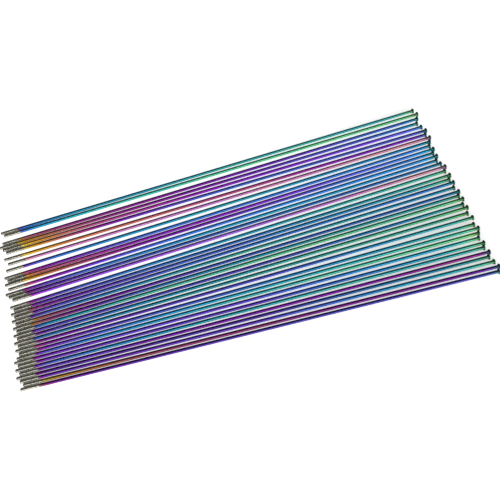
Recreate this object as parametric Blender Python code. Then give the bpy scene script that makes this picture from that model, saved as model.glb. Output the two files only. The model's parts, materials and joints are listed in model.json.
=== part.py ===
"""A set of straight-pull bicycle spokes lying side by side on a table.

Frame: +X runs along the spokes from their threads to their heads, +Y points to the first spoke of
the row, +Z is up. The origin is the centre of the set's footprint, on the table. Each spoke rests on
its thread and on the rim of its head, which is wider, so it rises a little towards the head. The row
fans out towards the heads.
"""

import math
import random

import bmesh
import bpy
from mathutils import Vector

MM = 0.001

# One spoke: plain wire, rolled thread, pressed head.
SPOKE_LENGTH = 280.0 * MM       # thread end to the foot of the head
WIRE_RADIUS = 1.0 * MM          # 14 gauge
THREAD_RADIUS = 1.1 * MM        # crest of the rolled thread
THREAD_LENGTH = 10.0 * MM
THREAD_CHAMFER = 0.35 * MM
THREAD_RUNOUT = 0.5 * MM
HEAD_RADIUS = 1.8 * MM
HEAD_CONE = 0.8 * MM
HEAD_RIM = 0.5 * MM
HEAD_CROWN = 0.2 * MM
CROWN_RADIUS = 1.5 * MM
SIDES = 8

# The row, from the far edge (+Y) to the near one, as runs of (spokes, distance between them). The
# threads have slid together into groups, and the heads lie further apart, some of them in pairs.
THREAD_RUNS = (
    (1, 2.3 * MM), (1, 5.2 * MM), (3, 2.3 * MM), (1, 4.3 * MM), (1, 3.6 * MM), (1, 4.2 * MM), (1, 4.6 * MM),
    (2, 2.25 * MM), (1, 3.3 * MM), (1, 3.1 * MM), (2, 2.25 * MM), (1, 4.3 * MM), (22, 2.25 * MM),
)
HEAD_RUNS = (
    (5, 3.6 * MM), (5, 3.1 * MM), (2, 2.9 * MM), (4, 3.1 * MM), (1, 3.8 * MM), (2, 2.9 * MM), (2, 3.6 * MM),
    (2, 2.9 * MM), (1, 3.6 * MM), (1, 2.9 * MM), (2, 3.8 * MM), (1, 4.6 * MM), (3, 3.2 * MM), (1, 3.9 * MM),
    (1, 2.9 * MM), (1, 3.6 * MM), (1, 3.0 * MM), (2, 3.7 * MM), (1, 3.0 * MM),
)
STEP_RANGE = (1.5 * MM, 1.9 * MM)   # how far a head stands ahead of or behind its neighbour's
STEP_LIMIT = 1.9 * MM
SLANT = 0.04                    # the row's ends are not square to it: slide along per distance across
SEED = 12

# Interference colours of the coating's film at mid length, in the order of its thickness.
FILMS = {
    "film_magenta": (0.45, 0.12, 0.42),
    "film_violet": (0.22, 0.12, 0.48),
    "film_indigo": (0.08, 0.12, 0.45),
    "film_blue": (0.07, 0.26, 0.58),
    "film_teal": (0.05, 0.40, 0.45),
    "film_green": (0.14, 0.42, 0.25),
}
# The film of each spoke, first to last, by its place in FILMS.
SPOKE_FILMS = (
    4, 5, 1, 1, 1, 3, 0, 0, 4, 3, 1, 2, 3,
    4, 3, 1, 4, 3, 3, 3, 5, 3, 4, 5, 2, 4,
    4, 2, 3, 4, 4, 2, 2, 4, 1, 2, 2, 0, 2,
)


def clear_scene():
    for obj in list(bpy.data.objects):
        bpy.data.objects.remove(obj, do_unlink=True)


def profile():
    """(distance from the thread end, radius) along the spoke."""
    rim_start = SPOKE_LENGTH + HEAD_CONE
    rim_end = rim_start + HEAD_RIM
    return (
        (0.0, THREAD_RADIUS - THREAD_CHAMFER),
        (THREAD_CHAMFER, THREAD_RADIUS),
        (THREAD_LENGTH, THREAD_RADIUS),
        (THREAD_LENGTH + THREAD_RUNOUT, WIRE_RADIUS),
        (SPOKE_LENGTH, WIRE_RADIUS),
        (rim_start, HEAD_RADIUS),
        (rim_end, HEAD_RADIUS),
        (rim_end + HEAD_CROWN, CROWN_RADIUS),
    )


def ring(mesh, along, radius):
    """A ring of corners round the axis. Its flats are at radius, and one of them faces down."""
    corner = radius / math.cos(math.pi / SIDES)
    angles = [(k + 0.5) * math.tau / SIDES for k in range(SIDES)]
    return [mesh.verts.new((along, corner * math.cos(a), corner * math.sin(a))) for a in angles]


def spoke_mesh():
    """One spoke along +X, with its thread end at the origin."""
    mesh = bmesh.new()
    rings = [ring(mesh, along, radius) for along, radius in profile()]
    for near, far in zip(rings, rings[1:]):
        for k in range(SIDES):
            following = (k + 1) % SIDES
            mesh.faces.new((near[k], near[following], far[following], far[k]))
    mesh.faces.new(rings[0][::-1])
    mesh.faces.new(rings[-1])
    bmesh.ops.recalc_face_normals(mesh, faces=mesh.faces)
    data = bpy.data.meshes.new("spoke")
    mesh.to_mesh(data)
    mesh.free()
    data.shade_smooth()
    data.set_sharp_from_angle(angle=math.radians(50))
    return data


def film_material(name, colour):
    material = bpy.data.materials.new(name)
    material.use_nodes = True
    shader = material.node_tree.nodes["Principled BSDF"]
    shader.inputs["Base Color"].default_value = (*colour, 1)
    shader.inputs["Metallic"].default_value = 1.0
    shader.inputs["Roughness"].default_value = 0.18
    material.diffuse_color = (*colour, 1)
    return material


def places(runs):
    """Distances across the row, from its first spoke, of spokes that lie in runs."""
    across = [0.0]
    for count, pitch in runs:
        for _ in range(count):
            across.append(across[-1] + pitch)
    return across


def steps_along(count):
    """How far each spoke has slid along its own length. Neighbours differ enough for their heads to
    clear each other."""
    chance = random.Random(SEED)
    slid = [0.0]
    while len(slid) < count:
        step = chance.uniform(*STEP_RANGE) * chance.choice((-1, 1))
        if abs(slid[-1] + step) > STEP_LIMIT:
            step = -step
        slid.append(slid[-1] + step)
    return slid


def rest():
    """(rise, height of the thread end) of a spoke that rests on its thread and its head's rim."""
    rise = math.atan2(HEAD_RADIUS - THREAD_RADIUS, SPOKE_LENGTH + HEAD_CONE - THREAD_CHAMFER)
    return rise, THREAD_RADIUS * math.cos(rise) - THREAD_CHAMFER * math.sin(rise)


def row_places():
    """(thread end, direction across the table) of each spoke, with the middle one along +X."""
    threads = places(THREAD_RUNS)
    heads = places(HEAD_RUNS)
    middle = len(threads) // 2
    height = rest()[1]
    row = []
    for thread, head, slid in zip(threads, heads, steps_along(len(threads))):
        y = threads[middle] - thread
        slid += SLANT * y
        turn = math.asin((heads[middle] - head - y) / SPOKE_LENGTH)
        place = Vector((slid * math.cos(turn), y + slid * math.sin(turn), height))
        row.append((place, turn))
    return row


def centre_on_origin(objects):
    """Moves the set so that its footprint is centred on the origin."""
    bpy.context.view_layer.update()
    corners = [obj.matrix_world @ vertex.co for obj in objects for vertex in obj.data.vertices]
    for axis in (0, 1):
        values = [corner[axis] for corner in corners]
        middle = (min(values) + max(values)) / 2
        for obj in objects:
            obj.location[axis] -= middle


def build():
    clear_scene()
    data = spoke_mesh()
    data.materials.append(None)
    films = [film_material(name, colour) for name, colour in FILMS.items()]
    rise = rest()[0]
    spokes = []
    for number, (place, turn) in enumerate(row_places(), start=1):
        spoke = bpy.data.objects.new(f"spoke_{number:02d}", data)
        bpy.context.scene.collection.objects.link(spoke)
        spoke.location = place
        spoke.rotation_euler = (0, -rise, turn)
        spoke.material_slots[0].link = "OBJECT"
        spoke.material_slots[0].material = films[SPOKE_FILMS[number - 1]]
        spokes.append(spoke)
    centre_on_origin(spokes)


build()
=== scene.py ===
"""A set of straight-pull, oil-slick bicycle spokes lying side by side on a white table.

Each CAD spoke is replaced by a finely made one on the same axis: a rolled thread, round wire and a
pressed head. One coating material serves them all, and reads each spoke's own film.
"""

import json
import math
import random

import bpy
from mathutils import Matrix, Vector


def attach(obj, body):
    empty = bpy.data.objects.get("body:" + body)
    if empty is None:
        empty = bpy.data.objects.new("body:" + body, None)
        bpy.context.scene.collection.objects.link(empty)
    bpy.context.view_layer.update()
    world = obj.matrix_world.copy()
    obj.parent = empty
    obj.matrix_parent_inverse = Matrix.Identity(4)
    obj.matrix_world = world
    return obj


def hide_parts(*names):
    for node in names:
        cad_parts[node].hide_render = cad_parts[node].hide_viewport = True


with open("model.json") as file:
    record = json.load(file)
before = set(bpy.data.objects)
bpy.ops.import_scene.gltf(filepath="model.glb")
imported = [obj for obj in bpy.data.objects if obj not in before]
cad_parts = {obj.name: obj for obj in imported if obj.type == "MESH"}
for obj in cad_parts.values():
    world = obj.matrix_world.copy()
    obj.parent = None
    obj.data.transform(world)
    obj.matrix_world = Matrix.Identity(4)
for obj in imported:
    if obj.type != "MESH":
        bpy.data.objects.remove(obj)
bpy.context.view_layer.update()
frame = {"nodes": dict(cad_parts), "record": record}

MM = 0.001

# The spoke, as in the CAD.
SPOKE_LENGTH = 280.0 * MM       # thread end to the foot of the head
WIRE_RADIUS = 1.0 * MM
THREAD_RADIUS = 1.1 * MM
THREAD_LENGTH = 10.0 * MM
THREAD_CHAMFER = 0.35 * MM
HEAD_RADIUS = 1.8 * MM
HEAD_CONE = 0.8 * MM
HEAD_RIM = 0.5 * MM
HEAD_CROWN = 0.2 * MM

# How a spoke is found again in its CAD solid.
THREAD_CORNERS = 5 * MM         # corners this close to the thread end belong to it
HEAD_CORNERS = 270 * MM         # and those further than this belong to the head

# What the CAD leaves out: the rolled thread, the round wire and the form of the head.
SIDES = 24
THREAD_PITCH = 25.4 / 56 * MM
THREAD_ROOT = 0.9 * MM
THREAD_ROWS_PER_TURN = 8
THREAD_FADE = 0.7 * MM
WAVE_LIFT = 0.5                 # the thread's wave is lifted and cut off, for wide flat crests
WAVE_HEIGHT = 1.4
SHANK_ROWS = 40
CONE_RISE = 0.72 * MM
CONE_HOLLOW = 1.4               # 1 is a straight cone
CONE_STEPS = 6
RIM_ROUNDING = 0.09 * MM
RIM_STEPS = 6
CROWN_SHARES = (0.88, 0.7, 0.5, 0.3, 0.1)
CUP_RADIUS = 0.5 * MM           # the dimple that rolling leaves in the thread end
CUP_DEPTH = 0.14 * MM
CUP_FLOOR_SHARES = (0.1, 0.6)
END_FACE_SHARE = 0.95

# The coating: an interference film whose thickness, in nanometres, sets its colour.
WAVELENGTHS = (630.0, 540.0, 450.0)
FILM_LEVEL = 0.22
FILM_SWING = 0.215
FILM_THICKNESS = {
    "gold": 665.0,
    "rose": 735.0,
    "magenta": 780.0,
    "violet": 826.0,
    "indigo": 865.0,
    "blue": 922.0,
    "teal": 990.0,
    "green": 1022.0,
}
# Each spoke's film at its thread and at its head. The record has the one in the middle.
SPOKE_FILMS = (
    ("blue", "teal"), ("blue", "green"), ("rose", "blue"), ("gold", "blue"), ("gold", "indigo"),
    ("gold", "indigo"), ("gold", "violet"), ("magenta", "rose"), ("indigo", "blue"),
    ("magenta", "blue"), ("rose", "blue"), ("gold", "blue"), ("magenta", "blue"), ("violet", "blue"),
    ("violet", "blue"), ("violet", "rose"), ("violet", "teal"), ("violet", "teal"),
    ("magenta", "teal"), ("indigo", "blue"), ("indigo", "blue"), ("rose", "blue"), ("rose", "teal"),
    ("blue", "green"), ("indigo", "teal"), ("violet", "green"), ("blue", "green"), ("violet", "teal"),
    ("magenta", "teal"), ("violet", "teal"), ("indigo", "green"), ("violet", "teal"),
    ("violet", "teal"), ("indigo", "teal"), ("indigo", "magenta"), ("violet", "teal"),
    ("violet", "teal"), ("gold", "violet"), ("magenta", "indigo"),
)
SEED = 4
FILM_JITTER = 12                # nanometres either way, at each of the three places
FILM_GAIN = (0.75, 1.35)
FAR_PAINTED_LIGHT = 1.25                 # painted light: the far spokes are brighter than the near ones
PAINTED_LIGHT_FALL = 0.45
PALE_SPOKES = {8: (0.25, 0.2), 16: (0.0, 0.25)}   # how pale it is at its thread and at its head
PALE_TINT = (0.90, 0.68, 0.74, 1)

# How the film lies along a spoke. Thicknesses are in nanometres.
FILM_START = 10.6 * MM          # where the coating begins, past the bare thread
FILM_MIDDLE = 140.0 * MM
EARLY_REACH = 60 * MM           # it turns from its thread's film to the middle's over this
EDGE_REACH = 3 * MM             # it is thinner where it starts
EDGE_THINNING = 45.0
HEAD_REACH = 6 * MM             # and thicker at the head
HEAD_THICKENING = 50.0
CLOUD_SWING = 60.0
CLOUD_STRETCH = (0.12, 1.0, 1.0)
CLOUD_SCALE = 180.0
FRINGE = 3 * MM                 # the clouds also shift the place where the coating starts
FILM_EDGE = (FILM_START - 0.7 * MM, FILM_START + 0.5 * MM)
# Painted shade on the heads: the coating is darkened towards a dark green over the last few millimetres
# and the head.
HEAD_PAINTED_SHADE = (0.02, 0.10, 0.075, 1)
HEAD_SHADE_RANGE = (SPOKE_LENGTH - 5 * MM, SPOKE_LENGTH + HEAD_CONE)
HEAD_SHADE_SHARE = 0.75
WORN_RADII = (1.72 * MM, 1.82 * MM)
WORN_SHARE = 0.45

# The steel under it, with painted shade in the thread's roots.
# painted shade: the thread's roots are coloured near black
ROOT_PAINTED_SHADE = (0.015, 0.015, 0.014, 1)
CREST_STEEL = (0.84, 0.82, 0.70, 1)
ROOT_SHADE_TOP = THREAD_ROOT + 0.06 * MM    # painted shade: the thread is darkest up to here
STREAK_STRETCH = (0.06, 1.0, 1.0)
STREAK_SCALE = 9000.0
STREAK_RANGE = (0.3, 0.7)
GLOSS = (0.08, 0.18)            # roughness between the streaks and in them
BARE_MATT = 0.03                # how much rougher the bare steel is
SPECULAR_TINT = (0.55, 0.55, 0.55, 1)
COAT_IOR = 1.25
COAT_ROUGHNESS = 0.08
BUMP_STRENGTH = 0.25
BUMP_HEIGHT = 0.01 * MM

# The table. It glows, more at the far left than at the near right.
TABLE_HALF = 2.0
TABLE_TINTS = ((0.86, 0.86, 0.87, 1), (0.90, 0.90, 0.90, 1))
TABLE_GRAIN = 60.0
TABLE_ROUGHNESS = 0.9
TABLE_GLOW = (1.1, 0.64)
GLOW_REACH = 0.1
GLOW_SLANT = 0.6

# The lights.
LIT_POINT = Vector((0, 0, 0))
SOFTBOX_SIZE = (2.4, 0.5)
NEAR_PLACE = (0.05, -0.8, 0.3)
NEAR_RADIANCE = 3.5
ABOVE_PLACE = (0, -0.3, 1.0)
ABOVE_RADIANCE = 0.35
WORLD_STRENGTH = 0.14

# The camera.
LOOK_AT = Vector((2.3 * MM, -0.5 * MM, 0))
AZIMUTH = math.radians(-19.1)
ELEVATION = math.radians(63.1)
DISTANCE = 365.0 * MM
LENS = 43.2
SENSOR = 36.0
CLIP_START = 0.01


def smooth_step(value):
    value = min(max(value, 0.0), 1.0)
    return value * value * (3 - 2 * value)


def spread(first, last, count):
    """count values from first to last, without first itself."""
    return [first + (last - first) * step / count for step in range(1, count + 1)]


def cup_profile():
    """(distance from the thread end, radius) out of the dimple and over the end's flat face."""
    floor = [(CUP_DEPTH, share * CUP_RADIUS) for share in CUP_FLOOR_SHARES]
    return [*floor, (0, CUP_RADIUS), (0, END_FACE_SHARE * (THREAD_RADIUS - THREAD_CHAMFER))]


def thread_radius(along, angle):
    """The rolled thread: flat crests and rounded roots wound round the wire. It fades out into the
    wire, and a chamfer cuts its free end."""
    turns = along / THREAD_PITCH - angle / math.tau
    wave = min(WAVE_LIFT + WAVE_HEIGHT * math.cos(math.tau * turns), 1)
    fade = smooth_step((THREAD_LENGTH - along) / THREAD_FADE + 0.5)
    middle = (THREAD_RADIUS + THREAD_ROOT) / 2
    radius = middle + (THREAD_RADIUS - middle) * wave * fade
    return min(radius, THREAD_RADIUS - THREAD_CHAMFER + along)


def head_profile():
    """(distance past the foot of the head, radius) up its cone, round its rim and over its crown."""
    profile = []
    for share in spread(0, 1, CONE_STEPS):
        profile.append((HEAD_CONE * share, WIRE_RADIUS + CONE_RISE * share**CONE_HOLLOW))
    half_rim = HEAD_RIM / 2
    for step in range(RIM_STEPS + 1):
        angle = math.pi * (step / RIM_STEPS - 0.5)
        inset = RIM_ROUNDING * (1 - math.cos(angle))
        profile.append((HEAD_CONE + half_rim * (1 + math.sin(angle)), HEAD_RADIUS - inset))
    for share in CROWN_SHARES:
        crown = HEAD_CROWN * (1 - share**2)
        profile.append((HEAD_CONE + HEAD_RIM + crown, HEAD_RADIUS * share))
    return profile


class Tube:
    """Rows of points round the X axis. Each point also keeps its place as an attribute."""

    def __init__(self):
        self.points = []
        self.rows = 0

    def add(self, along, radius_at):
        for k in range(SIDES):
            angle = k * math.tau / SIDES
            radius = radius_at(angle)
            self.points.append((along, radius * math.cos(angle), radius * math.sin(angle)))
        self.rows += 1

    def mesh(self, name):
        faces = []
        for row in range(self.rows - 1):
            near = row * SIDES
            far = near + SIDES
            for k in range(SIDES):
                following = (k + 1) % SIDES
                faces.append((near + k, near + following, far + following, far + k))
        last = (self.rows - 1) * SIDES
        faces.append(tuple(range(SIDES - 1, -1, -1)))
        faces.append(tuple(range(last, last + SIDES)))
        data = bpy.data.meshes.new(name)
        data.from_pydata(self.points, [], faces)
        places = data.attributes.new("wire_place", "FLOAT_VECTOR", "POINT")
        places.data.foreach_set("vector", [value for point in self.points for value in point])
        data.shade_smooth()
        return data


def spoke_mesh():
    """One spoke along +X, with its thread end at the origin."""
    tube = Tube()
    for along, radius in cup_profile():
        tube.add(along, lambda angle: radius)
    row_pitch = THREAD_PITCH / THREAD_ROWS_PER_TURN
    for row in range(round((THREAD_LENGTH + THREAD_FADE) / row_pitch) + 1):
        along = row * row_pitch
        tube.add(along, lambda angle: thread_radius(along, angle))
    for along in spread(THREAD_LENGTH + THREAD_FADE, SPOKE_LENGTH, SHANK_ROWS):
        tube.add(along, lambda angle: WIRE_RADIUS)
    for past_foot, radius in head_profile():
        tube.add(SPOKE_LENGTH + past_foot, lambda angle: radius)
    return tube.mesh("spoke")


def cad_place(node):
    """Where a CAD spoke's thread end is and how its axis lies, found from its own corners."""
    corners = {tuple(round(value, 6) for value in vertex.co) for vertex in node.data.vertices}
    corners = [Vector(corner) for corner in corners]
    first = min(corner.x for corner in corners)
    near = [corner for corner in corners if corner.x < first + THREAD_CORNERS]
    far = [corner for corner in corners if corner.x > first + HEAD_CORNERS]
    middle = sum(near, Vector()) / len(near)
    direction = (sum(far, Vector()) / len(far) - middle).normalized()
    reach = min((corner - middle).dot(direction) for corner in corners)
    turn = Matrix.Rotation(math.atan2(direction.y, direction.x), 4, "Z")
    rise = Matrix.Rotation(-math.asin(direction.z), 4, "Y")
    return Matrix.Translation(middle + direction * reach) @ turn @ rise


def new_material(name):
    material = bpy.data.materials.new(name)
    material.use_nodes = True
    return material, material.node_tree, material.node_tree.nodes["Principled BSDF"]


def put(tree, kind, inputs=(), **settings):
    """A new node. Its inputs are values or other nodes' outputs."""
    made = tree.nodes.new(kind)
    for name, value in settings.items():
        setattr(made, name, value)
    for place, value in dict(inputs).items():
        if isinstance(value, bpy.types.NodeSocket):
            tree.links.new(value, made.inputs[place])
        else:
            made.inputs[place].default_value = value
    return made.outputs[0]


def maths(tree, operation, *values, clamp=False):
    return put(tree, "ShaderNodeMath", enumerate(values), operation=operation, use_clamp=clamp)


def vector_maths(tree, operation, *values):
    return put(tree, "ShaderNodeVectorMath", enumerate(values), operation=operation)


def map_range(tree, value, start, end, first=0.0, last=1.0, **settings):
    """first where value is at start, last where it is at end, and between them in between."""
    return put(tree, "ShaderNodeMapRange", enumerate((value, start, end, first, last)), **settings)


def blend_colours(tree, share, first, second):
    made = tree.nodes.new("ShaderNodeMix")
    made.data_type = "RGBA"
    for socket, value in zip((made.inputs[0], made.inputs[6], made.inputs[7]), (share, first, second)):
        if isinstance(value, bpy.types.NodeSocket):
            tree.links.new(value, socket)
        else:
            socket.default_value = value
    return made.outputs[2]


def own_value(tree, name):
    """A number that each spoke's object carries."""
    made = tree.nodes.new("ShaderNodeAttribute")
    made.attribute_type = "OBJECT"
    made.attribute_name = name
    return made.outputs["Fac"]


def wire_place(tree):
    """Where the point is on its own spoke: its vector, and its distances along and out."""
    made = tree.nodes.new("ShaderNodeAttribute")
    made.attribute_type = "GEOMETRY"
    made.attribute_name = "wire_place"
    place = made.outputs["Vector"]
    parts = tree.nodes.new("ShaderNodeSeparateXYZ")
    tree.links.new(place, parts.inputs[0])
    across = maths(tree, "POWER", parts.outputs["Y"], 2.0)
    above = maths(tree, "POWER", parts.outputs["Z"], 2.0)
    radius = maths(tree, "SQRT", maths(tree, "ADD", across, above))
    return place, parts.outputs["X"], radius


def noise(tree, vector, scale, detail, roughness=0.5):
    inputs = {"Vector": vector, "Scale": scale, "Detail": detail, "Roughness": roughness}
    return put(tree, "ShaderNodeTexNoise", inputs, noise_dimensions="3D")


def film_thickness(tree, along, cloud):
    """Grows fast behind the thread, then slowly to the head, in clouds. It is thinner where the
    coating starts and thicker at the head."""
    thread, middle, head = (own_value(tree, f"film_{end}") for end in ("thread", "middle", "head"))
    past_start = maths(tree, "SUBTRACT", along, FILM_START)
    early = maths(tree, "EXPONENT", maths(tree, "DIVIDE", past_start, -EARLY_REACH))
    edge = maths(tree, "EXPONENT", maths(tree, "DIVIDE", past_start, -EDGE_REACH))
    past_middle = maths(tree, "SUBTRACT", along, FILM_MIDDLE)
    late = maths(tree, "DIVIDE", past_middle, SPOKE_LENGTH - FILM_MIDDLE, clamp=True)
    past_foot = maths(tree, "SUBTRACT", along, SPOKE_LENGTH)
    far_edge = maths(tree, "EXPONENT", maths(tree, "DIVIDE", past_foot, HEAD_REACH))

    thickness = maths(tree, "MULTIPLY_ADD", maths(tree, "SUBTRACT", thread, middle), early, middle)
    thickness = maths(tree, "MULTIPLY_ADD", maths(tree, "SUBTRACT", head, middle), late, thickness)
    thickness = maths(tree, "MULTIPLY_ADD", edge, -EDGE_THINNING, thickness)
    thickness = maths(tree, "MULTIPLY_ADD", far_edge, HEAD_THICKENING, thickness)
    return maths(tree, "MULTIPLY_ADD", maths(tree, "SUBTRACT", cloud, 0.5), CLOUD_SWING, thickness)


def film_colour(tree, thickness):
    """Light of each wavelength swings between its lows and highs as the film thickens."""
    rates = tuple(math.tau / wavelength for wavelength in WAVELENGTHS)
    scaled = tree.nodes.new("ShaderNodeVectorMath")
    scaled.operation = "SCALE"
    scaled.inputs[0].default_value = rates
    tree.links.new(thickness, scaled.inputs["Scale"])
    swing = vector_maths(tree, "COSINE", scaled.outputs[0])
    return vector_maths(tree, "MULTIPLY_ADD", swing, (FILM_SWING,) * 3, (FILM_LEVEL,) * 3)


def coating_colour(tree, along, cloud):
    """The film's colour, with its spoke's own brightness and paleness, and darkened at the head by
    painted shade. Part of the brightness is painted light, brighter on the far spokes.
    """
    film = film_colour(tree, film_thickness(tree, along, cloud))
    # the gain holds a random brightness for each spoke and painted light, brighter on the far spokes
    film = vector_maths(tree, "MULTIPLY", film, own_value(tree, "film_gain_and_painted_light"))
    share = maths(tree, "DIVIDE", along, SPOKE_LENGTH, clamp=True)
    pale_thread = own_value(tree, "pale_thread")
    growth = maths(tree, "SUBTRACT", own_value(tree, "pale_head"), pale_thread)
    pale = maths(tree, "MULTIPLY_ADD", growth, share, pale_thread)
    film = blend_colours(tree, pale, film, PALE_TINT)
    # painted shade: the head is darkened towards a dark green
    head_shade = map_range(tree, along, *HEAD_SHADE_RANGE, last=HEAD_SHADE_SHARE)
    return blend_colours(tree, head_shade, film, HEAD_PAINTED_SHADE)


def steel_with_painted_root_shade(tree, radius):
    """Steel with painted shade that darkens the thread's roots, and bright on its crests."""
    height = map_range(tree, radius, ROOT_SHADE_TOP, THREAD_RADIUS)
    return blend_colours(tree, height, ROOT_PAINTED_SHADE, CREST_STEEL)


def coated_share(tree, along, radius, cloud, streaks):
    """0 on the bare thread and 1 on the coating, which starts raggedly and is worn on the rim."""
    fringe = maths(tree, "MULTIPLY_ADD", maths(tree, "SUBTRACT", cloud, 0.5), FRINGE, along)
    coated = map_range(tree, fringe, *FILM_EDGE, interpolation_type="SMOOTHSTEP")
    worn = maths(tree, "MULTIPLY", map_range(tree, radius, *WORN_RADII, last=WORN_SHARE), streaks)
    return maths(tree, "SUBTRACT", coated, worn, clamp=True)


def spoke_material():
    """Drawn steel, bare on the thread and under an interference film everywhere else."""
    material, tree, shader = new_material("oil_slick_steel")
    place, along, radius = wire_place(tree)
    own_place = vector_maths(tree, "ADD", place, own_value(tree, "film_seed"))
    cloud = noise(tree, vector_maths(tree, "MULTIPLY", own_place, CLOUD_STRETCH), CLOUD_SCALE, 2.0)
    drawn = vector_maths(tree, "MULTIPLY", own_place, STREAK_STRETCH)
    streaks = noise(tree, drawn, STREAK_SCALE, 3.0, 0.6)

    coated = coated_share(tree, along, radius, cloud, streaks)
    colour = blend_colours(tree, coated, steel_with_painted_root_shade(tree, radius), coating_colour(tree, along, cloud))
    tree.links.new(colour, shader.inputs["Base Color"])

    gloss = map_range(tree, streaks, *STREAK_RANGE, *GLOSS)
    matt = maths(tree, "MULTIPLY_ADD", coated, -BARE_MATT, BARE_MATT)
    tree.links.new(maths(tree, "ADD", gloss, matt), shader.inputs["Roughness"])
    tree.links.new(coated, shader.inputs["Coat Weight"])
    shader.inputs["Metallic"].default_value = 1.0
    shader.inputs["Specular Tint"].default_value = SPECULAR_TINT
    shader.inputs["Coat IOR"].default_value = COAT_IOR
    shader.inputs["Coat Roughness"].default_value = COAT_ROUGHNESS

    bump = tree.nodes.new("ShaderNodeBump")
    bump.inputs["Strength"].default_value = BUMP_STRENGTH
    bump.inputs["Distance"].default_value = BUMP_HEIGHT
    tree.links.new(streaks, bump.inputs["Height"])
    tree.links.new(bump.outputs[0], shader.inputs["Normal"])
    return material


def table_material():
    """White, and glowing less and less from its far left to its near right."""
    material, tree, shader = new_material("white_table")
    coordinates = tree.nodes.new("ShaderNodeTexCoord").outputs["Object"]
    tint = blend_colours(tree, noise(tree, coordinates, TABLE_GRAIN, 4.0), *TABLE_TINTS)
    tree.links.new(tint, shader.inputs["Base Color"])
    tree.links.new(tint, shader.inputs["Emission Color"])

    parts = tree.nodes.new("ShaderNodeSeparateXYZ")
    tree.links.new(coordinates, parts.inputs[0])
    towards_right = maths(tree, "MULTIPLY", parts.outputs["X"], GLOW_SLANT)
    near_right = maths(tree, "SUBTRACT", towards_right, parts.outputs["Y"])
    glow = map_range(tree, near_right, -GLOW_REACH, GLOW_REACH, *TABLE_GLOW)
    tree.links.new(glow, shader.inputs["Emission Strength"])
    shader.inputs["Roughness"].default_value = TABLE_ROUGHNESS
    shader.inputs["Specular IOR Level"].default_value = 0.1
    return material


def make_spokes():
    data = spoke_mesh()
    data.materials.append(spoke_material())
    slots = {row["node"]: row["material_slot"] for row in frame["record"]["subparts"]}
    chance = random.Random(SEED)
    for number, (thread, head) in enumerate(SPOKE_FILMS, start=1):
        node = f"spoke_{number:02d}"
        piece = bpy.data.objects.new(f"{node}_wire", data)
        bpy.context.scene.collection.objects.link(piece)
        piece.matrix_world = cad_place(frame["nodes"][node])
        middle = slots[node].removeprefix("film_")
        piece["film_thread"] = FILM_THICKNESS[thread] + chance.uniform(-FILM_JITTER, FILM_JITTER)
        piece["film_middle"] = FILM_THICKNESS[middle] + chance.uniform(-FILM_JITTER, FILM_JITTER)
        piece["film_head"] = FILM_THICKNESS[head] + chance.uniform(-FILM_JITTER, FILM_JITTER)
        piece["pale_thread"], piece["pale_head"] = PALE_SPOKES.get(number, (0.0, 0.0))
        piece["film_seed"] = chance.uniform(0, 1)
        # painted light: the gain falls from the far spokes to the near ones
        across = (number - 1) / (len(SPOKE_FILMS) - 1)
        piece["film_gain_and_painted_light"] = chance.uniform(*FILM_GAIN) * (FAR_PAINTED_LIGHT - PAINTED_LIGHT_FALL * across)
        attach(piece, node)
        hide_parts(node)


def make_table():
    data = bpy.data.meshes.new("table")
    half = TABLE_HALF
    corners = [(-half, -half, 0), (half, -half, 0), (half, half, 0), (-half, half, 0)]
    data.from_pydata(corners, [], [(0, 1, 2, 3)])
    data.materials.append(table_material())
    table = bpy.data.objects.new("table", data)
    bpy.context.scene.collection.objects.link(table)


def make_softbox(name, place, radiance):
    """A rectangular light that faces the spokes."""
    width, height = SOFTBOX_SIZE
    light = bpy.data.lights.new(name, "AREA")
    light.shape = "RECTANGLE"
    light.size, light.size_y = width, height
    light.energy = radiance * math.pi * width * height
    lamp = bpy.data.objects.new(name, light)
    bpy.context.scene.collection.objects.link(lamp)
    lamp.location = place
    lamp.visible_camera = False
    lamp.rotation_euler = (LIT_POINT - Vector(place)).to_track_quat("-Z", "Y").to_euler()


def make_light():
    make_softbox("softbox_near", NEAR_PLACE, NEAR_RADIANCE)
    make_softbox("softbox_above", ABOVE_PLACE, ABOVE_RADIANCE)
    world = bpy.data.worlds.new("studio")
    world.use_nodes = True
    background = world.node_tree.nodes["Background"]
    background.inputs["Color"].default_value = (1, 1, 1, 1)
    background.inputs["Strength"].default_value = WORLD_STRENGTH
    bpy.context.scene.world = world
    bpy.context.scene.view_settings.view_transform = "Standard"


def make_camera():
    camera = bpy.data.objects.new("camera", bpy.data.cameras.new("camera"))
    camera.data.lens = LENS
    camera.data.sensor_width = SENSOR
    camera.data.clip_start = CLIP_START
    bpy.context.scene.collection.objects.link(camera)
    back = Vector((
        math.sin(AZIMUTH) * math.cos(ELEVATION),
        -math.cos(AZIMUTH) * math.cos(ELEVATION),
        math.sin(ELEVATION),
    ))
    camera.location = LOOK_AT + DISTANCE * back
    camera.rotation_euler = back.to_track_quat("Z", "Y").to_euler()
    bpy.context.scene.camera = camera


make_camera()
make_spokes()
make_table()
make_light()
